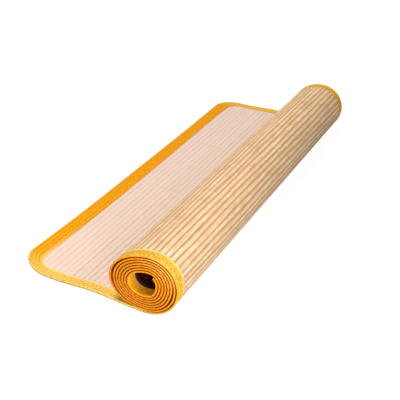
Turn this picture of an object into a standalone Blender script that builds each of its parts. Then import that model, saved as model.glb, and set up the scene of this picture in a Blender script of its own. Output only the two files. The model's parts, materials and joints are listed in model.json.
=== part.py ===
"""A bamboo slat mat with a cloth binding, half unrolled: a flat tail with rounded corners runs into a wound roll.

Flat measure of the mat: s runs from the free edge to the inner end, t across along the slats, h up from the middle.
World: +Y along the roll, the tail towards -X, the floor at Z 0, in metres.
"""

import bpy
import numpy as np

MM = 0.001
TURN = 2 * np.pi

WIDTH = 900 * MM
ROLL_RADIUS = 55.5 * MM
TAIL_LENGTH = 238 * MM
TURNS = 7.4
CORNER_RADIUS = 54 * MM
CENTRE_SHIFT = 90.5 * MM

THICKNESS = 3.5 * MM
FIELD_TOP = 1.4 * MM
SLAT_PITCH = 9.7 * MM
GROOVE_DEPTH = 0.8 * MM
GROOVE_HALF = 1.2 * MM

SIDE_BINDING = 22 * MM
END_BINDING = 28 * MM
BINDING_WALL = 1.0 * MM
BINDING_ROUND = 0.5 * MM
TONGUE_HALF = 0.45 * MM
TONGUE_INSET = 2.0 * MM
PIECE_GAP = 0.3 * MM
STEP_SLOPE = 0.6 * MM

# Out-of-round shape of the roll, in shares of its radius: harmonic number, cosine part, sine part.
ROLL_OUTLINE = ((1, -0.017, -0.003), (2, 0.062, 0.018), (3, -0.017, -0.005))
# Spacing of the turns round the roll, in shares of its radius, in the same columns.
TURN_SPACING = ((0, 0.0814, 0.0), (1, 0.0050, 0.0047), (2, 0.0041, 0.0))
# Places where one turn stands away from the next: turns outside it, direction in degrees, spread in degrees, width.
LOOSE_TURNS = ((1, 182, 38, 0.034), (2, 345, 24, 0.022))
DROP_START = 0.70

# The roll is a little wider on its left at the near end than at the far end, as a share of its radius.
NEAR_FLARE = 0.07

# Unevenness of the tail, near end and far end: lift of the corner, height, place and spread of a low hump.
CORNER_LIFTS = (8.0 * MM, 3.6 * MM)
HUMPS = ((4.9 * MM, 0.62, 0.20), (8.4 * MM, 0.60, 0.28))
CORNER_SHARE = 0.4
ROLL_SHARE = 0.12
END_SHARE = 0.35

INNER_STEPS = 17
ROLL_SAMPLES = 6000
TAIL_SAMPLES = 600
FIELD_ROWS = (-0.75, -0.42, 0.0, 0.42, 0.75)
FREE_END_ARC = (0, 14, 26, 40, 50)
ARC_STEPS = 10
FREE_STEPS = 8
JOIN_STEP = 0.05 * MM
JOIN_OVERLAP = 3.0 * MM


def harmonics(table, angle):
    """Sum of cosine and sine parts of a table at an angle."""
    return sum(c * np.cos(n * angle) + s * np.sin(n * angle) for n, c, s in table)


def smooth_step(value):
    v = np.clip(value, 0, 1)
    return v * v * (3 - 2 * v)


def middle_radius(turns):
    """Distance of the sheet's middle from the roll's centre, after a number of turns from the floor line."""
    whole = np.floor(turns)
    part = turns - whole
    angle = TURN * (part - 0.25)
    outer = 1 + harmonics(ROLL_OUTLINE, angle)
    wound = whole + smooth_step((part - DROP_START) / (1 - DROP_START))
    inward = wound * harmonics(TURN_SPACING, angle)
    for after, direction, spread, gap in LOOSE_TURNS:
        away = (np.degrees(angle) - direction + 180) % 360 - 180
        inward += gap * np.exp(-((away / spread) ** 2)) * (whole >= after)
    return ROLL_RADIUS * (outer - inward) - THICKNESS / 2


def roll_points(turns):
    """Points of the sheet's middle in the roll, the lowest one on the floor line."""
    angle = TURN * (turns - 0.25)
    radius = middle_radius(turns)
    height = middle_radius(np.zeros(1))[0] + THICKNESS / 2
    return np.stack([radius * np.cos(angle), height + radius * np.sin(angle)], axis=-1)


def path_table():
    """Length along the sheet with the middle line's points and upward normals, tail first."""
    turns = np.linspace(0, TURNS, ROLL_SAMPLES)
    roll = roll_points(turns)
    tail_x = np.linspace(-TAIL_LENGTH, 0, TAIL_SAMPLES, endpoint=False)
    tail = np.stack([tail_x, np.full_like(tail_x, THICKNESS / 2)], axis=-1)
    points = np.vstack([tail, roll])
    length = np.concatenate([[0], np.cumsum(np.linalg.norm(np.diff(points, axis=0), axis=1))])
    along = np.gradient(points, length, axis=0)
    along /= np.linalg.norm(along, axis=1, keepdims=True)
    normals = np.stack([-along[:, 1], along[:, 0]], axis=-1)
    turn_column = np.concatenate([np.zeros(len(tail)), turns])
    return length, points, normals, turn_column


LENGTHS, MIDDLE, NORMALS, TURN_COLUMN = path_table()
SHEET_LENGTH = LENGTHS[-1]
OUTER_END = np.interp(1.0, TURN_COLUMN, LENGTHS)
FIELD_INSET = END_BINDING + PIECE_GAP
SIDE_INSET = SIDE_BINDING + PIECE_GAP
FIELD_END = SHEET_LENGTH - FIELD_INSET
TONGUE_END = SHEET_LENGTH - TONGUE_INSET


def tail_lift(s, t):
    """Height of the uneven tail above the floor: raised corners and a low hump towards each end of the slats."""
    u = np.clip(s / TAIL_LENGTH, 0, 1)
    v = np.clip(t / WIDTH + 0.5, 0, 1)
    height = 0
    for from_end, corner, hump in zip((v, 1 - v), CORNER_LIFTS, HUMPS):
        top, place, spread = hump
        edge = corner * np.clip(1 - u / CORNER_SHARE, 0, 1) ** 2 + top * np.exp(-(((u - place) / spread) ** 2))
        height = height + edge * np.clip(1 - from_end / END_SHARE, 0, 1) ** 2
    return height * smooth_step((1 - u) / ROLL_SHARE)


def wound(s, t, h):
    """World points of flat measures: the middle line's point at s, moved by h along its normal, t along the roll."""
    s = np.asarray(s, float)
    x = np.interp(s, LENGTHS, MIDDLE[:, 0])
    z = np.interp(s, LENGTHS, MIDDLE[:, 1])
    nx = np.interp(s, LENGTHS, NORMALS[:, 0])
    nz = np.interp(s, LENGTHS, NORMALS[:, 1])
    size = np.hypot(nx, nz)
    x = x + h * nx / size
    z = z + tail_lift(s, t) + h * nz / size
    flare = NEAR_FLARE * (s > TAIL_LENGTH) * smooth_step(-x / ROLL_RADIUS) * -2 * t / WIDTH
    return np.stack([x * (1 + flare) + CENTRE_SHIFT, t + 0 * s, np.maximum(z, 0)], axis=-1)


def half_width(s, end_inset, side_inset):
    """Half of the mat's width at s, for an outline moved inward at end and sides, with both free corners rounded."""
    short = np.clip((CORNER_RADIUS - s) / (CORNER_RADIUS - end_inset), 0, 1)
    return WIDTH / 2 - CORNER_RADIUS + (CORNER_RADIUS - side_inset) * np.sqrt(1 - short**2)


def slat_grooves(start):
    """Places of the grooves between slats, from a start to the end of the outermost turn."""
    return np.arange(int(start / SLAT_PITCH) + 1, int(OUTER_END / SLAT_PITCH) + 1) * SLAT_PITCH


def slat_columns():
    """Places along the tail and the outermost turn for the mat's points, with the outer face's groove depth at each."""
    columns = []
    for groove in slat_grooves(FIELD_INSET):
        columns.append((groove, GROOVE_DEPTH))
        columns.append((groove + GROOVE_HALF, 0.0))
        columns.append((groove + SLAT_PITCH - GROOVE_HALF, 0.0))
    return [column for column in columns if column[0] < OUTER_END - GROOVE_HALF]


def inner_places():
    """Places along the inner turns at equal angles, and where the field and the mat end, shared by both pieces."""
    steps = np.arange(INNER_STEPS, int(TURNS * INNER_STEPS) + 1) / INNER_STEPS
    places = np.interp(steps, TURN_COLUMN, LENGTHS)
    places = places[(np.abs(places - FIELD_END) > GROOVE_HALF) & (places < TONGUE_END - TONGUE_INSET)]
    return np.sort(np.append(places, [FIELD_END, FIELD_END - STEP_SLOPE, TONGUE_END]))


def mat_places():
    """Places along the sheet for the mat's sections: length, groove depth, and whether the field is there."""
    arc = np.radians(FREE_END_ARC)
    free = TONGUE_INSET + (CORNER_RADIUS - TONGUE_INSET) * (1 - np.cos(arc))
    places = [(s, 0.0, False) for s in (*free, FIELD_INSET)]
    places.append((FIELD_INSET + STEP_SLOPE, 0.0, True))
    places += [(s, depth, True) for s, depth in slat_columns() if s > FIELD_INSET + 2 * STEP_SLOPE]
    places += [(s, 0.0, s < FIELD_END) for s in inner_places()]
    return places


def mat_sections():
    """Closed sections of the slat mat across the sheet, one for each place along it."""
    rings = []
    for s, depth, thick in mat_places():
        tongue = half_width(s, TONGUE_INSET, TONGUE_INSET)
        edge = half_width(max(s, FIELD_INSET), FIELD_INSET, SIDE_INSET)
        shoulder = edge - STEP_SLOPE
        across = np.array([-tongue, -edge, -shoulder, *(shoulder * np.array(FIELD_ROWS)), shoulder, edge, tongue])
        upper = np.full(len(across), FIELD_TOP if thick else TONGUE_HALF)
        lower = np.full(len(across), depth - THICKNESS / 2 if thick else -TONGUE_HALF)
        upper[[0, 1, -2, -1]] = TONGUE_HALF
        lower[[0, 1, -2, -1]] = -TONGUE_HALF
        t = np.concatenate([across, across[::-1]])
        h = np.concatenate([upper, lower[::-1]])
        rings.append(wound(np.full(len(t), s), t, h))
    return rings


def binding_section(width):
    """Section of the folded tape: distance in from the edge, and height."""
    half = THICKNESS / 2
    inner = half - BINDING_WALL
    return np.array([
        (width, -half),
        (BINDING_ROUND, -half),
        (0, -half + BINDING_ROUND),
        (0, half - BINDING_ROUND),
        (BINDING_ROUND, half),
        (width, half),
        (width, inner),
        (BINDING_WALL, inner),
        (BINDING_WALL, -inner),
        (width, -inner),
    ])


def corner(across, start):
    """Points round a free corner, in s and t, each with the tape's inward reach, from a start angle in degrees."""
    angles = np.radians(start + np.linspace(0, 90, ARC_STEPS))
    out = np.stack([np.cos(angles), np.sin(angles)], axis=-1)
    centre = np.array([CORNER_RADIUS, across])
    return [(centre + CORNER_RADIUS * o, -o * (END_BINDING, SIDE_BINDING)) for o in out]


def binding_outline():
    """Points along the bound edges with the tape's inward reach: far edge, free edge with its corners, near edge."""
    half = WIDTH / 2
    straight = half - CORNER_RADIUS
    edge = np.concatenate([slat_grooves(CORNER_RADIUS), inner_places(), [SHEET_LENGTH]])
    outline = [((s, half), (0, -SIDE_BINDING)) for s in edge[::-1]]
    outline += corner(straight, 90)
    outline += [((0, t), (END_BINDING, 0)) for t in straight * np.linspace(1, -1, FREE_STEPS)[1:-1]]
    outline += corner(-straight, 180)
    outline += [((s, -half), (0, SIDE_BINDING)) for s in edge]
    return outline


def binding_sections():
    """Closed sections of the folded tape, one at each outline point."""
    rings = []
    for point, reach in binding_outline():
        width = np.hypot(*reach)
        section = binding_section(width)
        s = point[0] + section[:, 0] * reach[0] / width
        t = point[1] + section[:, 0] * reach[1] / width
        rings.append(wound(s, t, section[:, 1]))
    return rings


def end_sections():
    """Closed sections of the tape over the inner end, whose walls bend with the roll and run into both side tapes."""
    outer = THICKNESS / 2 - JOIN_STEP
    inner = THICKNESS / 2 - BINDING_WALL + JOIN_STEP
    bends = [s for s in inner_places() if s > SHEET_LENGTH - END_BINDING]
    length = np.array([SHEET_LENGTH - END_BINDING, *bends, SHEET_LENGTH - BINDING_WALL])
    tip = SHEET_LENGTH - JOIN_STEP
    s = np.concatenate([length, [tip, tip], length[::-1], length, length[::-1]])
    wall = np.ones(len(length))
    h = np.concatenate([-outer * wall, [-inner, inner], outer * wall[::-1]])
    h = np.concatenate([h, inner * wall, -inner * wall[::-1]])
    reach = WIDTH / 2 - SIDE_BINDING + JOIN_OVERLAP
    return [wound(s, np.full(len(s), t), h) for t in (reach, -reach)]


def lofted(name, rings, collection):
    """A solid through closed sections, capped at both ends."""
    count = len(rings[0])
    points = np.vstack(rings)
    faces = []
    for i in range(len(rings) - 1):
        a = i * count
        b = a + count
        for j in range(count):
            k = (j + 1) % count
            faces.append((a + j, b + j, b + k, a + k))
    last = (len(rings) - 1) * count
    faces.append(tuple(range(count)))
    faces.append(tuple(range(last + count - 1, last - 1, -1)))
    mesh = bpy.data.meshes.new(name)
    mesh.from_pydata(points.tolist(), [], faces)
    obj = bpy.data.objects.new(name, mesh)
    collection.objects.link(obj)
    return obj


def material(name, colour, roughness):
    made = bpy.data.materials.new(name)
    made.use_nodes = True
    shader = made.node_tree.nodes["Principled BSDF"]
    shader.inputs["Base Color"].default_value = (*colour, 1.0)
    shader.inputs["Roughness"].default_value = roughness
    made.diffuse_color = (*colour, 1.0)
    return made


def main():
    for obj in list(bpy.data.objects):
        bpy.data.objects.remove(obj, do_unlink=True)
    collection = bpy.data.collections.new("bamboo_mat")
    helpers = bpy.data.collections.new("bamboo_mat_helpers")
    bpy.context.scene.collection.children.link(collection)
    bpy.context.scene.collection.children.link(helpers)
    mat = lofted("slat_mat", mat_sections(), collection)
    mat.data.materials.append(material("bamboo_slats", (0.62, 0.42, 0.26), 0.55))
    tape = lofted("cloth_binding", binding_sections(), collection)
    tape.data.materials.append(material("golden_cloth", (0.85, 0.50, 0.06), 0.85))
    end = lofted("inner_end_tape", end_sections(), helpers)
    end.hide_render = True
    end.display_type = "WIRE"
    join = tape.modifiers.new("inner_end", "BOOLEAN")
    join.operation = "UNION"
    join.solver = "EXACT"
    join.object = end


main()
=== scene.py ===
"""Looks of the half-unrolled bamboo mat: slats, tie threads, folded cloth tape and its stitches.

Flat measure: s runs from the free edge to the inner end, t across along the slats, h up from the sheet's middle.
Every piece is worked out in flat measures and then laid on the mat's wound form.
"""

import json

import bpy
import numpy as np
from mathutils import Matrix

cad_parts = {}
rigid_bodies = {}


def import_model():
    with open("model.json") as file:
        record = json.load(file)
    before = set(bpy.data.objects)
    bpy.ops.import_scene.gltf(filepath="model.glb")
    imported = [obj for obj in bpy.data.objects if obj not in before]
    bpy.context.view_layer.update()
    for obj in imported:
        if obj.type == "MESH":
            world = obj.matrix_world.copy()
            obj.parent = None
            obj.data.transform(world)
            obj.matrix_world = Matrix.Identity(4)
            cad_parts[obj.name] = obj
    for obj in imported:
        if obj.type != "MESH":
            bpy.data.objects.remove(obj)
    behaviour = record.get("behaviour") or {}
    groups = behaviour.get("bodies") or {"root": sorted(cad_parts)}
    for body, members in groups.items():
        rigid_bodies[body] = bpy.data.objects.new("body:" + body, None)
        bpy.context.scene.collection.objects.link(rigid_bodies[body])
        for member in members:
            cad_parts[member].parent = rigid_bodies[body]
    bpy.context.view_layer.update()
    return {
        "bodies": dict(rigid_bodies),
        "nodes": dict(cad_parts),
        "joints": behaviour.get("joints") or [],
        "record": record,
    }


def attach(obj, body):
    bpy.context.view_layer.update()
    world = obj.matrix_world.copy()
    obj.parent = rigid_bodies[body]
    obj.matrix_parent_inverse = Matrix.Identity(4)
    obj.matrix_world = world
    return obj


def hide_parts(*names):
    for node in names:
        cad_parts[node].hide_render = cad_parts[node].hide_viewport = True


MM = 0.001
TURN = 2 * np.pi

# The mat's form, as in the part's source.
WIDTH = 900 * MM
ROLL_RADIUS = 55.5 * MM
TAIL_LENGTH = 238 * MM
TURNS = 7.4
CORNER_RADIUS = 54 * MM
CENTRE_SHIFT = 90.5 * MM
THICKNESS = 3.5 * MM
SLAT_PITCH = 9.7 * MM
SIDE_BINDING = 22 * MM
END_BINDING = 28 * MM
ROLL_OUTLINE = ((1, -0.017, -0.003), (2, 0.062, 0.018), (3, -0.017, -0.005))
TURN_SPACING = ((0, 0.0814, 0.0), (1, 0.0050, 0.0047), (2, 0.0041, 0.0))
LOOSE_TURNS = ((1, 182, 38, 0.034), (2, 345, 24, 0.022))
DROP_START = 0.70
NEAR_FLARE = 0.07
CORNER_LIFTS = (8.0 * MM, 3.6 * MM)
HUMPS = ((4.9 * MM, 0.62, 0.20), (8.4 * MM, 0.60, 0.28))
CORNER_SHARE = 0.4
ROLL_SHARE = 0.12
END_SHARE = 0.35
ROLL_SAMPLES = 12000
TAIL_SAMPLES = 1200

# The photo's camera, fitted to the mat's outline: unit of length, place, turns in radians, focal length in pixels.
CAMERA_PLACE = (8.7174, -19.4372, 15.2703)
CAMERA_TURNS = (-0.3634, 0.4935, 0.1208)
CAMERA_FOCUS = 911.7
PHOTO_WIDTH = 400
SENSOR = 36.0


def harmonics(table, angle):
    return sum(c * np.cos(n * angle) + s * np.sin(n * angle) for n, c, s in table)


def smooth_step(value):
    v = np.clip(value, 0, 1)
    return v * v * (3 - 2 * v)


def middle_radius(turns):
    """Distance of the sheet's middle from the roll's centre: outline minus the spacing of the turns outside it."""
    whole = np.floor(turns)
    part = turns - whole
    angle = TURN * (part - 0.25)
    outer = 1 + harmonics(ROLL_OUTLINE, angle)
    wound = whole + smooth_step((part - DROP_START) / (1 - DROP_START))
    inward = wound * harmonics(TURN_SPACING, angle)
    for after, direction, spread, gap in LOOSE_TURNS:
        away = (np.degrees(angle) - direction + 180) % 360 - 180
        inward += gap * np.exp(-((away / spread) ** 2)) * (whole >= after)
    return ROLL_RADIUS * (outer - inward) - THICKNESS / 2


def path_table():
    """Length along the sheet with the middle line's points and normals: a straight tail, then the wound turns."""
    turns = np.linspace(0, TURNS, ROLL_SAMPLES)
    angle = TURN * (turns - 0.25)
    radius = middle_radius(turns)
    height = middle_radius(np.zeros(1))[0] + THICKNESS / 2
    roll = np.stack([radius * np.cos(angle), height + radius * np.sin(angle)], axis=-1)
    tail_x = np.linspace(-TAIL_LENGTH, 0, TAIL_SAMPLES, endpoint=False)
    tail = np.stack([tail_x, np.full_like(tail_x, THICKNESS / 2)], axis=-1)
    points = np.vstack([tail, roll])
    length = np.concatenate([[0], np.cumsum(np.linalg.norm(np.diff(points, axis=0), axis=1))])
    along = np.gradient(points, length, axis=0)
    along /= np.linalg.norm(along, axis=1, keepdims=True)
    turn_column = np.concatenate([np.zeros(len(tail)), turns])
    return length, points, np.stack([-along[:, 1], along[:, 0]], axis=-1), turn_column


LENGTHS, MIDDLE, NORMALS, TURN_COLUMN = path_table()
SHEET_LENGTH = LENGTHS[-1]


def tail_lift(s, t):
    """Height of the uneven tail above the floor: raised corners and a low hump towards each end of the slats."""
    u = np.clip(s / TAIL_LENGTH, 0, 1)
    v = np.clip(t / WIDTH + 0.5, 0, 1)
    height = 0
    for from_end, corner, hump in zip((v, 1 - v), CORNER_LIFTS, HUMPS):
        top, place, spread = hump
        edge = corner * np.clip(1 - u / CORNER_SHARE, 0, 1) ** 2 + top * np.exp(-(((u - place) / spread) ** 2))
        height = height + edge * np.clip(1 - from_end / END_SHARE, 0, 1) ** 2
    return height * smooth_step((1 - u) / ROLL_SHARE)


def wound(s, t, h):
    """World points of flat measures: the middle line's point at s, moved by h along its normal, t along the roll."""
    s, t, h = np.broadcast_arrays(np.asarray(s, float), np.asarray(t, float), np.asarray(h, float))
    x = np.interp(s, LENGTHS, MIDDLE[:, 0])
    z = np.interp(s, LENGTHS, MIDDLE[:, 1])
    nx = np.interp(s, LENGTHS, NORMALS[:, 0])
    nz = np.interp(s, LENGTHS, NORMALS[:, 1])
    size = np.hypot(nx, nz)
    x = x + h * nx / size
    z = z + tail_lift(s, t) + h * nz / size
    flare = NEAR_FLARE * (s > TAIL_LENGTH) * smooth_step(-x / ROLL_RADIUS) * -2 * t / WIDTH
    return np.stack([x * (1 + flare) + CENTRE_SHIFT, t, np.maximum(z, 0)], axis=-1)


def half_width(s, end_inset, side_inset):
    """Half of the mat's width at s, for an outline moved inward at end and sides, with both free corners rounded."""
    short = np.clip((CORNER_RADIUS - s) / (CORNER_RADIUS - end_inset), 0, 1)
    return WIDTH / 2 - CORNER_RADIUS + (CORNER_RADIUS - side_inset) * np.sqrt(1 - short**2)


def chance(number, salt):
    """A repeatable value from 0 to 1 for a whole number: the fractional part of a large sine."""
    value = np.sin(np.asarray(number, float) * 12.9898 + salt * 78.233) * 43758.5453
    return value - np.floor(value)


def tubes(name, points, uv, values, closed=False):
    """Closed tubes: points of shape (tubes, rings, ring points, 3), skinned with quads and capped in strips."""
    m, n, k = points.shape[:3]
    index = np.arange(m * n * k).reshape(m, n, k)
    a = index if closed else index[:, :-1]
    b = np.roll(index, -1, axis=1) if closed else index[:, 1:]
    side = np.stack([a, b, np.roll(b, -1, axis=2), np.roll(a, -1, axis=2)], axis=-1).reshape(-1, 4)
    quads = [side]
    if not closed:
        j = np.arange(k // 2 - 1)
        for ring, flip in ((index[:, 0], False), (index[:, -1], True)):
            cap = np.stack([ring[:, j], ring[:, j + 1], ring[:, k - 2 - j], ring[:, k - 1 - j]], axis=-1).reshape(-1, 4)
            quads.append(cap[:, ::-1] if flip else cap)
    quads = np.concatenate(quads)
    flat = points.reshape(-1, 3)
    p = flat[side]
    volume = np.einsum("ij,ij->", p[:, 0], np.cross(p[:, 1], p[:, 2])) + np.einsum("ij,ij->", p[:, 0], np.cross(p[:, 2], p[:, 3]))
    if volume < 0:
        quads = quads[:, ::-1]
    mesh = bpy.data.meshes.new(name)
    mesh.vertices.add(len(flat))
    mesh.vertices.foreach_set("co", flat.ravel())
    mesh.loops.add(quads.size)
    mesh.loops.foreach_set("vertex_index", quads.ravel())
    mesh.polygons.add(len(quads))
    mesh.polygons.foreach_set("loop_start", np.arange(len(quads)) * 4)
    mesh.update(calc_edges=True)
    layer = mesh.uv_layers.new(name="flat")
    layer.data.foreach_set("uv", uv.reshape(-1, 2)[quads.ravel()].ravel())
    for key, data in values.items():
        attribute = mesh.attributes.new(key, "FLOAT", "POINT")
        attribute.data.foreach_set("value", np.broadcast_to(data, (m, n, k)).ravel())
    mesh.shade_smooth()
    obj = bpy.data.objects.new(name, mesh)
    bpy.context.scene.collection.objects.link(obj)
    return obj


SLAT_ACROSS = np.array([-0.5, -0.46, -0.36, -0.18, 0.0, 0.18, 0.36, 0.46, 0.5])
SLAT_ROWS = 13
SLAT_INSET = 2.2 * MM
FIELD_TOP = 1.35 * MM
FIELD_LOW = -1.7 * MM
UNDER_TAPE = 1.05 * MM
JOINT = 0.17 * MM
# Joints that stand open on the tail: number of the joint, middle, spread and width of the opening.
OPEN_JOINTS = ((10, -0.335, 0.05, 0.4 * MM), (9, -0.31, 0.03, 0.25 * MM), (14, 0.12, 0.05, 0.25 * MM))


def sway(s, t):
    """Drift of the slats along the sheet: two slow waves, and in the roll the slats lie slightly askew."""
    waves = 0.7 * MM * np.sin(TURN * (t / 0.61 + s / 0.083)) + 0.45 * MM * np.sin(TURN * (t / 0.27 - s / 0.051) + 1)
    ends = smooth_step(s / (80 * MM)) * smooth_step((SHEET_LENGTH - s) / (80 * MM))
    roll = smooth_step((s - TAIL_LENGTH + 20 * MM) / (90 * MM)) * smooth_step((SHEET_LENGTH - s) / (90 * MM))
    return waves * ends - roll * (4.0 * MM + 0.0108 * t)


def slats():
    """All slats: strips t by s, flat inside, outer face low + 1.05 mm |2c|^2.1, thinner where the tape covers them.

    Joint n stands at n pitches plus its own offset, and each slat has its own tilt, height and tone from chance().
    """
    count = int((SHEET_LENGTH - SLAT_INSET) / SLAT_PITCH)
    number = np.arange(count + 1)[:, None, None]
    c = SLAT_ACROSS[None, None, :]
    rim_rows = np.array([0, 0.6, 20.2, 21.4, 22.6, 31.0]) * MM
    inner_rows = np.linspace(0, 1, SLAT_ROWS + 2)[1:-1] * (WIDTH - 70 * MM) - (WIDTH / 2 - 35 * MM)
    ends = WIDTH / 2 - SLAT_INSET - rim_rows
    t = np.sort(np.concatenate([-ends, inner_rows, ends]))[None, :, None]
    joint = number * SLAT_PITCH + 0.9 * MM * (chance(number, 8) - 0.5) * (number > 0)
    gap = JOINT + 0.45 * MM * chance(number, 9) ** 5 + 0 * t
    for which, middle, spread, width in OPEN_JOINTS:
        gap = gap + (number == which) * width * np.exp(-(((t - middle) / spread) ** 2))
    start = joint[:-1] + gap[:-1] / 2
    stop = joint[1:] - gap[1:] / 2
    s = start + (stop - start) * (c + 0.5)
    s = np.clip(s + sway(s, t), SLAT_INSET, SHEET_LENGTH - SLAT_INSET)
    number = number[:-1]
    outline = half_width(s, SLAT_INSET, SLAT_INSET)
    reach = WIDTH / 2 - SLAT_INSET
    middle = reach - rim_rows[-1]
    at_rim = np.sign(t) * (outline - reach + np.abs(t))
    t = np.where(np.abs(t) > middle - 0.1 * MM, at_rim, t * (outline - rim_rows[-1]) / middle)
    lip = half_width(s, END_BINDING, SIDE_BINDING) - np.abs(t)
    edge = np.minimum(lip, np.minimum(s, SHEET_LENGTH - s) - END_BINDING)
    inside = smooth_step(edge / (1.2 * MM) + 0.6)
    lift = 0.16 * MM * (chance(number, 1) - 0.5) + 0.10 * MM * np.sin(9 * t / WIDTH + 6 * chance(number, 2))
    tilt = 0.14 * MM * (chance(number, 3) - 0.5) * 2 * c
    ridge = 1.05 * MM * np.abs(2 * c) ** 2.1
    crown = 0.10 * MM * np.abs(2 * c) ** 6
    top = inside * (FIELD_TOP - crown + lift + tilt) + (1 - inside) * (UNDER_TAPE - crown)
    low = inside * (FIELD_LOW + ridge + lift + tilt) + (1 - inside) * (ridge - UNDER_TAPE)
    low = np.maximum(low, -THICKNESS / 2)
    s_full = np.concatenate([s, s[..., ::-1]], axis=-1)
    t_full = np.concatenate([t, t[..., ::-1]], axis=-1)
    h_full = np.concatenate([top, low[..., ::-1]], axis=-1)
    points = wound(s_full, t_full, h_full)
    outer = np.concatenate([np.zeros(c.shape), np.ones(c.shape)], axis=-1)
    rim = np.concatenate([np.abs(2 * c) ** 1.6, (np.abs(2 * c) ** 1.6)[..., ::-1]], axis=-1)
    uv = np.stack([t_full + 3.7 * chance(number, 4), s_full], axis=-1)
    turn = np.interp(s_full, LENGTHS, TURN_COLUMN)
    # Painted shade: the inner face of the innermost turn, inside the hollow core, is marked for a dark maroon colour.
    core_painted_shade = (1 - outer) * smooth_step((turn - TURNS + 1.15) / 0.1) * smooth_step((WIDTH / 2 - 17 * MM - np.abs(t_full)) / (9 * MM))
    # Painted shade: the outer faces on the roll's lower right side are marked darker, more so towards the far end.
    angle = np.degrees(np.arctan2(points[..., 2] - ROLL_RADIUS, points[..., 0] - CENTRE_SHIFT))
    low = smooth_step((8 - angle) / 26) * smooth_step((angle + 100) / 40) * outer
    low = low * (0.18 + 0.50 * smooth_step(t_full / WIDTH + 0.5))
    values = {"outer_face": outer, "rim": rim, "tone": chance(number, 5), "core_painted_shade": core_painted_shade, "low": low}
    obj = tubes("slats", points, uv, values)
    obj.data.set_sharp_from_angle(angle=np.radians(50))
    return obj


TAPE_D = np.array([28.0, 27.7, 26.0, 24.0, 20.0, 15.0, 10.0, 6.0, 3.0, 1.5, 0.7, 0.2, 0.0]) * MM
TAPE_FOLD = 6.0 * MM
TAPE_STEP = 3.0 * MM
TAPE_SHEET = 0.55 * MM


def tape_outline():
    """Points along the bound edges: s, t, inward direction, width there, and the share of it that fits.

    Far edge, free edge with its rounded corners, near edge, then the inner end with mitred corners.
    """
    half = WIDTH / 2
    edge = np.arange(CORNER_RADIUS, SHEET_LENGTH - END_BINDING, TAPE_STEP)
    last = SHEET_LENGTH - END_BINDING * np.linspace(1, 0.04, 10)
    side = np.concatenate([edge, last])
    share = np.clip((SHEET_LENGTH - side) / END_BINDING, 0, 1)
    rows = [(s, half, 0, -1, SIDE_BINDING, k) for s, k in zip(side[::-1], share[::-1])]
    straight = half - CORNER_RADIUS
    for across, start in ((straight, 90), (-straight, 180)):
        for a in np.radians(start + np.linspace(0, 90, 31))[1:-1]:
            s, t = CORNER_RADIUS * (1 + np.cos(a)), across + CORNER_RADIUS * np.sin(a)
            reach = np.array([-END_BINDING * np.cos(a), -SIDE_BINDING * np.sin(a)])
            width = np.hypot(*reach)
            rows.append((s, t, *(reach / width), width, 1))
        if across > 0:
            rows += [(0, t, 1, 0, END_BINDING, 1) for t in np.linspace(straight, -straight, 180)]
    rows += [(s, -half, 0, 1, SIDE_BINDING, k) for s, k in zip(side, share)]
    last_t = half - SIDE_BINDING * np.linspace(0.04, 1, 8)
    across = np.concatenate([-last_t, np.linspace(-last_t[-1], last_t[-1], 40)[1:-1], last_t[::-1]])
    share = np.clip((half - np.abs(across)) / SIDE_BINDING, 0, 1)
    rows += [(SHEET_LENGTH, t, -1, 0, END_BINDING, k) for t, k in zip(across, share)]
    return np.array(rows, float)


def wander(s, t):
    """Drift of the lip on the free edge: the tape is widest there a little short of the middle."""
    return 1.8 * MM * np.cos(TURN * (t + 0.085) / 0.9) * smooth_step(1 - s / (4 * MM)) * smooth_step((0.4 - np.abs(t)) / 0.1)


def fold(distance):
    """Height share of the folded edge at a distance in: a quarter round of 1.6 mm."""
    return np.sqrt(1 - (1 - np.clip(distance / (1.6 * MM), 0, 1)) ** 2)


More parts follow.
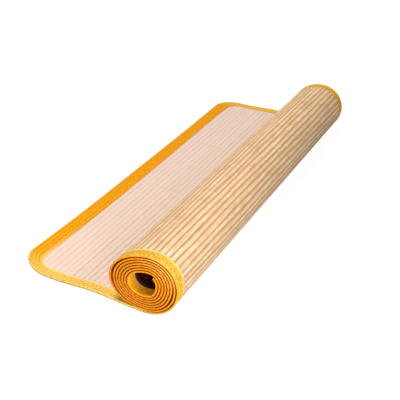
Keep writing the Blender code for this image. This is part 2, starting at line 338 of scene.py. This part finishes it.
def tape():
    """The folded tape: a thin sheet whose section runs from the lower lip round the edge to the upper lip and back."""
    rows = tape_outline()
    point, inward, width, share = rows[:, :2], rows[:, 2:4], rows[:, 4:5], rows[:, 5:6]
    length = np.concatenate([[0], np.cumsum(np.linalg.norm(np.diff(point, axis=0), axis=1))])[:, None]
    half = THICKNESS / 2
    inner_d = np.append(TAPE_D[TAPE_D > TAPE_SHEET], TAPE_SHEET)
    outer_h = half * fold(TAPE_D)
    inner_h = (half - TAPE_SHEET) * fold(inner_d - TAPE_SHEET)
    d = np.concatenate([TAPE_D, TAPE_D[::-1][1:], inner_d, inner_d[::-1][1:]])[:-1]
    h = np.concatenate([-outer_h, outer_h[::-1][1:], inner_h, -inner_h[::-1][1:]])[:-1]
    wide = np.maximum(d - TAPE_FOLD, 0) * (width - TAPE_FOLD) / (END_BINDING - TAPE_FOLD)
    depth = (np.minimum(d, TAPE_FOLD) + wide) * share
    pucker = 0.07 * MM * np.sin(TURN * length / (9 * MM)) * np.exp(-(((depth - width + 2.5 * MM) / (4 * MM)) ** 2))
    ripple = 0.35 * MM * np.sin(TURN * length / (47 * MM)) * np.sin(TURN * length / (131 * MM) + 1)
    ripple = (ripple + wander(point[:, :1], point[:, 1:])) * smooth_step(depth / width)
    s = point[:, :1] + (depth + ripple) * inward[:, :1]
    t = point[:, 1:] + (depth + ripple) * inward[:, 1:]
    height = h - np.sign(h) * np.abs(pucker)
    points = wound(s, t, height)[None]
    across = np.concatenate([-TAPE_D, TAPE_D[::-1][1:], inner_d, -inner_d[::-1][1:]])[:-1]
    uv = np.stack(np.broadcast_arrays(length, across[None, :]), axis=-1)[None]
    turn = np.interp(s, LENGTHS, TURN_COLUMN)
    upper = np.broadcast_to(h > 0, turn.shape)
    # Painted shade: faces of the tape wound inside the roll, seen only in the gaps between the turns, are marked for a
    # dark red-brown.
    covered_painted_shade = np.where(upper, smooth_step(turn / 0.2) * (turn < TURNS - 1.0), smooth_step((turn - 0.99) / 0.02))
    crest = np.exp(-((depth / (0.5 * MM)) ** 2)) * smooth_step(turn / 0.3)
    values = {"side": (np.where(inward[:, 1] < 0, 0.55, 1.0) * np.abs(inward[:, 1]))[None, :, None]}
    values["wound"] = (covered_painted_shade * (1 - crest))[None]
    values["crest"] = crest[None]
    values["inmost"] = (upper * smooth_step((turn - TURNS + 1.15) / 0.1))[None]
    # Painted light and shade on the rolled edges: a mask rising towards the roll's upper right.
    up_right = 0.35 * (points[..., 2] - ROLL_RADIUS) + 0.2 * (points[..., 0] - CENTRE_SHIFT)
    values["painted_light_up_right"] = np.clip(0.5 + up_right / ROLL_RADIUS, 0, 1)
    values["upper"] = upper[None]
    # Painted light: the tape's upper face just before the roll, where the roll shades it, is marked for a paler colour.
    values["nook_painted_light"] = (upper * np.exp(-(((s - TAIL_LENGTH + 24 * MM) / (19 * MM)) ** 2)))[None]
    values["ribbed"] = ((0.15 + 0.7 * np.exp(-(((t + WIDTH / 2) / 0.22) ** 2))) * (1 - 0.7 * np.abs(inward[:, 1:])))[None]
    values["lip"] = smooth_step((depth / width - 0.82) / 0.1)[None] * np.exp(-((t + WIDTH / 2) / 0.1) ** 2)[None]
    # Painted shade: the lower half of the tape's fold on the tail is marked for a dark olive brown.
    values["underside_painted_shade"] = (smooth_step((0.9 * MM - h) / (1.2 * MM)) * (1 - smooth_step(turn / 0.08)))[None]
    return tubes("cloth_tape", points, uv, values, closed=True)


STITCH_PITCH = 3.6 * MM
STITCH_LENGTH = 2.5 * MM


def stitches():
    """A row of stitches beside the tape's lip, on both faces: short bent capsules, half sunk in the tape."""
    rows = tape_outline()
    rows = rows[rows[:, 5] >= 1]
    point, inward, width = rows[:, :2], rows[:, 2:4], rows[:, 4:5]
    inner = point + (width - 2.5 * MM + wander(point[:, :1], point[:, 1:])) * inward
    length = np.concatenate([[0], np.cumsum(np.linalg.norm(np.diff(inner, axis=0), axis=1))])
    start = np.arange(STITCH_PITCH, length[-1] - STITCH_PITCH, STITCH_PITCH)
    lay = np.linspace(-0.5, 0.5, 5)
    at = start[:, None] + STITCH_LENGTH * lay[None, :]
    s0 = np.interp(at, length, inner[:, 0])
    t0 = np.interp(at, length, inner[:, 1])
    across = np.stack([np.interp(at, length, inward[:, 0]), np.interp(at, length, inward[:, 1])], axis=-1)
    girth = np.array([0.25, 0.85, 1.0, 0.85, 0.25])
    turn = TURN * np.arange(6) / 6
    wide = 0.38 * MM * girth[:, None] * np.cos(turn)[None, :]
    high = 0.22 * MM * girth[:, None] * np.sin(turn)[None, :]
    parts = []
    for face in (1, -1):
        base = face * (THICKNESS / 2 - 0.03 * MM) + 0 * at
        s = s0[..., None] + wide[None] * across[..., :1]
        t = t0[..., None] + wide[None] * across[..., 1:]
        parts.append(wound(s, t, base[..., None] + high[None]))
    points = np.concatenate(parts)
    uv = np.zeros(points.shape[:3] + (2,))
    uv[..., 0] = np.concatenate([at, at])[..., None]
    return tubes("stitches", points, uv, {"tone": chance(np.arange(len(points)), 7)[:, None, None]})


TIE_ROWS = (-0.405, -0.30, -0.18, -0.06, 0.06, 0.18, 0.30, 0.405)
TIE_SIZE = 0.22 * MM


def ties():
    """Tie threads across the slats: two thin threads in each row, passing over one face and then the other by turns.

    The height follows a rounded square wave of the slat number, and the second thread has the opposite sign.
    """
    s = np.arange(END_BINDING + 2 * MM, SHEET_LENGTH - END_BINDING - 2 * MM, SLAT_PITCH / 6)
    turn = TURN * np.arange(4) / 4
    tubes_points, tubes_uv = [], []
    for row in TIE_ROWS:
        for sign in (1, -1):
            wave = np.tanh(3.2 * sign * np.cos(np.pi * s / SLAT_PITCH - np.pi / 2))
            middle = np.where(wave > 0, FIELD_TOP, -FIELD_LOW) * wave
            t = row + sign * 0.3 * MM + TIE_SIZE * np.cos(turn)[None, :] + 0.3 * MM * np.sin(s / (31 * MM))[:, None]
            h = middle[:, None] + TIE_SIZE * np.sin(turn)[None, :]
            tubes_points.append(wound(s[:, None] + sway(s[:, None], t), t, h))
            tubes_uv.append(np.stack([s[:, None] + 0 * t, t], axis=-1))
    return tubes("tie_threads", np.array(tubes_points), np.array(tubes_uv), {})


def colour(red, green, blue):
    """Linear colour of a screen colour from 0 to 255."""
    c = np.array([red, green, blue]) / 255
    return (*np.where(c <= 0.04045, c / 12.92, ((c + 0.055) / 1.055) ** 2.4), 1.0)


class Nodes:
    """Short hand for wiring a material's nodes."""

    def __init__(self, name):
        self.material = bpy.data.materials.new(name)
        self.material.use_nodes = True
        self.tree = self.material.node_tree
        self.shader = self.tree.nodes["Principled BSDF"]

    def put(self, socket, value):
        if isinstance(value, bpy.types.NodeSocket):
            self.tree.links.new(value, socket)
        else:
            socket.default_value = value

    def node(self, kind, **settings):
        made = self.tree.nodes.new(kind)
        for key, value in settings.items():
            setattr(made, key, value)
        return made

    def math(self, operation, a, b=0.0):
        made = self.node("ShaderNodeMath", operation=operation)
        self.put(made.inputs[0], a)
        self.put(made.inputs[1], b)
        return made.outputs[0]

    def mix(self, factor, a, b, blend="MIX"):
        made = self.node("ShaderNodeMix", data_type="RGBA", blend_type=blend)
        self.put(made.inputs["Factor"], factor)
        self.put(made.inputs[6], a)
        self.put(made.inputs[7], b)
        return made.outputs[2]

    def attribute(self, name):
        return self.node("ShaderNodeAttribute", attribute_name=name).outputs["Fac"]

    def uv(self):
        made = self.node("ShaderNodeUVMap", uv_map="flat").outputs[0]
        split = self.node("ShaderNodeSeparateXYZ")
        self.put(split.inputs[0], made)
        return split.outputs[0], split.outputs[1]

    def vector(self, x, y, z=0.0):
        made = self.node("ShaderNodeCombineXYZ")
        for socket, value in zip(made.inputs, (x, y, z)):
            self.put(socket, value)
        return made.outputs[0]

    def noise(self, vector, scale, detail=2.0, roughness=0.5):
        made = self.node("ShaderNodeTexNoise")
        self.put(made.inputs["Vector"], vector)
        made.inputs["Scale"].default_value = scale
        made.inputs["Detail"].default_value = detail
        made.inputs["Roughness"].default_value = roughness
        return made.outputs["Fac"]

    def ramp(self, factor, low, high):
        made = self.node("ShaderNodeMapRange", clamp=True)
        self.put(made.inputs["Value"], factor)
        made.inputs["From Min"].default_value = low
        made.inputs["From Max"].default_value = high
        return made.outputs[0]

    def bump(self, height, distance, strength=1.0):
        made = self.node("ShaderNodeBump")
        made.inputs["Strength"].default_value = strength
        made.inputs["Distance"].default_value = distance
        self.put(made.inputs["Height"], height)
        self.put(self.shader.inputs["Normal"], made.outputs[0])


def bamboo():
    """Bamboo: fibres along each slat, its own tone, pale on the smooth inner face, tan with browner rims outside."""
    n = Nodes("bamboo_slats")
    along, across = n.uv()
    fibre = n.noise(n.vector(n.math("MULTIPLY", along, 14), n.math("MULTIPLY", across, 1600)), 1.0, 3.0, 0.6)
    cloud = n.noise(n.vector(n.math("MULTIPLY", along, 9), n.math("MULTIPLY", across, 70)), 1.0, 2.0)
    speck = n.noise(n.vector(n.math("MULTIPLY", along, 60), n.math("MULTIPLY", across, 420)), 1.0, 2.0)
    outer = n.attribute("outer_face")
    tone = n.attribute("tone")
    rim = n.attribute("rim")
    pale = n.mix(n.ramp(fibre, 0.3, 0.75), colour(222, 195, 178), colour(234, 209, 193))
    pale = n.mix(n.math("MULTIPLY", n.ramp(cloud, 0.4, 0.7), 0.35), pale, colour(217, 191, 180))
    pale = n.mix(n.math("MULTIPLY", rim, 0.20), pale, colour(184, 144, 114))
    grain = n.noise(n.vector(n.math("MULTIPLY", along, 8), n.math("MULTIPLY", across, 420)), 1.0, 2.0, 0.6)
    streak = n.noise(n.vector(n.math("MULTIPLY", along, 22), n.math("MULTIPLY", across, 330)), 1.0, 1.0)
    tan = n.mix(n.ramp(fibre, 0.3, 0.72), colour(220, 187, 146), colour(240, 211, 170))
    tan = n.mix(n.math("MULTIPLY", n.ramp(cloud, 0.4, 0.68), 0.35), tan, colour(208, 168, 128))
    tan = n.mix(n.math("MULTIPLY", tone, 0.30), tan, colour(206, 168, 122))
    tan = n.mix(n.math("MULTIPLY", n.ramp(grain, 0.52, 0.68), 0.5), tan, colour(196, 152, 106))
    tan = n.mix(n.math("MULTIPLY", n.ramp(grain, 0.48, 0.34), 0.5), tan, colour(248, 222, 184))
    length = n.noise(n.vector(n.math("MULTIPLY", along, 42), n.math("MULTIPLY", across, 105)), 1.0, 1.0)
    tan = n.mix(n.math("MULTIPLY", n.ramp(length, 0.5, 0.7), 0.33), tan, colour(248, 223, 190))
    tan = n.mix(n.math("MULTIPLY", n.ramp(length, 0.46, 0.3), 0.33), tan, colour(198, 152, 108))
    tan = n.mix(n.math("MULTIPLY", n.ramp(speck, 0.60, 0.72), 0.45), tan, colour(178, 126, 78))
    tan = n.mix(n.math("MULTIPLY", n.ramp(streak, 0.62, 0.74), 0.45), tan, colour(206, 132, 78))
    tan = n.mix(n.math("MULTIPLY", rim, 0.75), tan, colour(170, 124, 80))
    # Painted shade: dark brown on the roll's lower right side, more so towards the far end.
    tan = n.mix(n.attribute("low"), tan, colour(100, 68, 38))
    base = n.mix(outer, pale, tan)
    # Painted shade: dark maroon on the inner face of the innermost turn, in the hollow core.
    base = n.mix(n.attribute("core_painted_shade"), base, colour(64, 8, 5))
    n.put(n.shader.inputs["Base Color"], base)
    n.put(n.shader.inputs["Roughness"], n.math("ADD", n.math("MULTIPLY", fibre, 0.25), 0.5))
    n.shader.inputs["Specular IOR Level"].default_value = 0.12
    n.bump(fibre, 0.12 * MM, 0.8)
    return n.material


def golden_cloth():
    """Golden tape: plain weave with lengthwise ribs, yellower along the slat ends; painted shade: dark red-brown where
    it is wound in, dark olive on the tail's underside; painted light: paler just before the roll, and paler rolled
    edges at the upper right with deeper ones at the lower left.
    """
    n = Nodes("golden_cloth")
    along, across = n.uv()
    warp = n.math("SINE", n.math("MULTIPLY", along, TURN / (3.4 * MM)))
    weft = n.math("SINE", n.math("MULTIPLY", across, TURN / (3.4 * MM)))
    weave = n.math("MULTIPLY", warp, weft)
    rib = n.math("SINE", n.math("MULTIPLY", across, TURN / (7.0 * MM)))
    fine = n.noise(n.vector(n.math("MULTIPLY", along, 300), n.math("MULTIPLY", across, 300)), 1.0, 2.0, 0.6)
    cloud = n.noise(n.vector(n.math("MULTIPLY", along, 40), n.math("MULTIPLY", across, 120)), 1.0, 3.0)
    side = n.attribute("side")
    ribbed = n.attribute("ribbed")
    slat_ends = n.mix(n.attribute("upper"), colour(214, 166, 52), colour(232, 192, 98))
    slat_ends_deep = n.mix(n.attribute("upper"), colour(206, 150, 6), colour(226, 176, 60))
    base = n.mix(side, colour(228, 154, 26), slat_ends)
    base = n.mix(n.math("MULTIPLY", n.ramp(cloud, 0.35, 0.75), 0.6), base, n.mix(side, colour(220, 136, 0), slat_ends_deep))
    base = n.mix(n.math("MULTIPLY", n.ramp(rib, 0.0, 1.0), ribbed), base, n.mix(side, colour(234, 178, 20), colour(246, 210, 110)))
    base = n.mix(n.math("MULTIPLY", n.ramp(rib, -0.5, -1.0), ribbed), base, n.mix(side, colour(226, 126, 10), slat_ends_deep))
    base = n.mix(n.math("MULTIPLY", n.ramp(fine, 0.5, 0.66), 0.75), base, n.mix(side, colour(206, 126, 0), colour(182, 116, 4)))
    base = n.mix(n.math("MULTIPLY", n.ramp(fine, 0.48, 0.34), 0.6), base, n.mix(side, colour(244, 176, 60), colour(250, 222, 140)))
    base = n.mix(n.math("MULTIPLY", n.ramp(weave, 0.1, 1.0), 0.3), base, n.mix(side, colour(196, 106, 0), colour(196, 128, 14)))
    rolled_edge = n.mix(n.ramp(fine, 0.35, 0.65), colour(250, 166, 30), colour(234, 118, 0))
    rolled_edge_painted_shade = n.mix(n.ramp(fine, 0.35, 0.65), colour(214, 136, 24), colour(198, 92, 0))
    painted_light_up_right = n.attribute("painted_light_up_right")
    # Painted shade: deeper orange-brown rolled edges at the roll's lower left; painted highlight: paler gold ones at
    # the upper right.
    rolled_edge = n.mix(n.math("MULTIPLY", n.ramp(painted_light_up_right, 0.7, 0.3), 0.8), rolled_edge, rolled_edge_painted_shade)
    rolled_edge = n.mix(n.math("MULTIPLY", n.ramp(painted_light_up_right, 0.65, 0.9), n.ramp(cloud, 0.3, 0.6)), rolled_edge, colour(252, 200, 106))
    base = n.mix(n.attribute("inmost"), base, n.mix(n.ramp(fine, 0.35, 0.65), colour(255, 208, 50), colour(252, 158, 12)))
    # Painted light: paler yellow on the tape just before the roll, where the roll shades it.
    base = n.mix(n.attribute("nook_painted_light"), base, colour(250, 220, 112))
    base = n.mix(n.attribute("lip"), base, colour(244, 216, 120))
    # Painted shade: dark olive brown on the lower half of the tape's fold on the tail.
    base = n.mix(n.math("MULTIPLY", n.attribute("underside_painted_shade"), 0.75), base, colour(112, 70, 20))
    # Painted shade: dark red-brown on the tape's faces wound inside the roll, except their folded crests.
    base = n.mix(n.attribute("wound"), base, n.mix(n.ramp(cloud, 0.35, 0.6), colour(120, 34, 0), colour(196, 92, 4)))
    base = n.mix(n.attribute("crest"), base, rolled_edge)
    n.put(n.shader.inputs["Base Color"], base)
    n.put(n.shader.inputs["Roughness"], n.math("ADD", n.math("MULTIPLY", cloud, 0.2), 0.68))
    n.shader.inputs["Specular IOR Level"].default_value = 0.0
    height = n.math("ADD", n.math("ADD", weave, n.math("MULTIPLY", rib, 0.8)), n.math("MULTIPLY", fine, 1.6))
    n.bump(height, 0.22 * MM, 0.9)
    return n.material


def thread(name, low, high):
    """Twisted thread, with slanted strands."""
    n = Nodes(name)
    along, across = n.uv()
    strand = n.math("SINE", n.math("MULTIPLY", along, TURN / (0.7 * MM)))
    n.put(n.shader.inputs["Base Color"], n.mix(n.math("MULTIPLY", n.ramp(strand, 0, 1), 0.5), high, low))
    n.shader.inputs["Roughness"].default_value = 0.7
    n.bump(strand, 0.05 * MM, 0.6)
    return n


def floor():
    size = 6.0
    mesh = bpy.data.meshes.new("floor")
    mesh.from_pydata([(-size, -size, 0), (size, -size, 0), (size, size, 0), (-size, size, 0)], [], [(0, 1, 2, 3)])
    obj = bpy.data.objects.new("floor", mesh)
    bpy.context.scene.collection.objects.link(obj)
    obj.location.z = -0.0002
    n = Nodes("floor")
    n.shader.inputs["Base Color"].default_value = colour(90, 90, 90)
    n.shader.inputs["Emission Color"].default_value = (1, 1, 1, 1)
    n.shader.inputs["Emission Strength"].default_value = 0.95
    n.shader.inputs["Roughness"].default_value = 0.9
    n.shader.inputs["Specular IOR Level"].default_value = 0.1
    mesh.materials.append(n.material)
    return obj


def camera():
    """The camera at the photo's viewing angle: its axes from three turns, its lens from the focal length in pixels."""
    yaw, pitch, roll = CAMERA_TURNS
    forward = np.array([np.sin(yaw) * np.cos(pitch), np.cos(yaw) * np.cos(pitch), -np.sin(pitch)])
    level = np.array([np.cos(yaw), -np.sin(yaw), 0.0])
    upward = np.cross(level, forward)
    right = np.cos(roll) * level + np.sin(roll) * upward
    up = -np.sin(roll) * level + np.cos(roll) * upward
    place = np.array(CAMERA_PLACE) * ROLL_RADIUS + np.array([CENTRE_SHIFT, -WIDTH / 2, 0])
    data = bpy.data.cameras.new("camera")
    data.lens = CAMERA_FOCUS * SENSOR / PHOTO_WIDTH
    data.sensor_width = SENSOR
    obj = bpy.data.objects.new("camera", data)
    bpy.context.scene.collection.objects.link(obj)
    matrix = np.eye(4)
    matrix[:3, 0], matrix[:3, 1], matrix[:3, 2], matrix[:3, 3] = right, up, -forward, place
    obj.matrix_world = Matrix(matrix.tolist())
    bpy.context.scene.camera = obj


def area_light(name, place, target, size, power):
    data = bpy.data.lights.new(name, "AREA")
    data.shape = "SQUARE"
    data.size = size
    data.energy = power
    obj = bpy.data.objects.new(name, data)
    bpy.context.scene.collection.objects.link(obj)
    direction = Matrix.Translation(place).translation - Matrix.Translation(target).translation
    obj.rotation_euler = direction.to_track_quat("Z", "Y").to_euler()
    obj.location = place
    obj.visible_camera = False


def lights():
    world = bpy.data.worlds.new("studio")
    bpy.context.scene.world = world
    world.use_nodes = True
    world.node_tree.nodes["Background"].inputs[0].default_value = (1, 1, 1, 1)
    world.node_tree.nodes["Background"].inputs[1].default_value = 0.2
    area_light("key", (-0.85, -0.2, 2.9), (0, 0, 0), 1.2, 90)
    area_light("side", (0.66, -0.5, 0.45), (0.09, -0.5, 0.06), 0.4, 2.6)
    area_light("front", (0.5, -1.15, 0.14), (0.09, -0.45, 0.05), 0.3, 6.0)


def main():
    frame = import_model()
    cloth = golden_cloth()
    field = slats()
    field.data.materials.append(bamboo())
    bound = tape()
    bound.data.materials.append(cloth)
    row = stitches()
    row.data.materials.append(thread("stitch_thread", colour(190, 90, 0), colour(226, 132, 20)).material)
    tied = ties()
    tied.data.materials.append(thread("tie_thread", colour(206, 166, 122), colour(232, 202, 168)).material)
    for piece in (field, bound, row, tied):
        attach(piece, "root")
    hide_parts("slat_mat")
    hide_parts("cloth_binding")
    floor()
    camera()
    lights()
    bpy.context.scene.view_settings.view_transform = "Standard"
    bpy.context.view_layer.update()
    return frame


main()
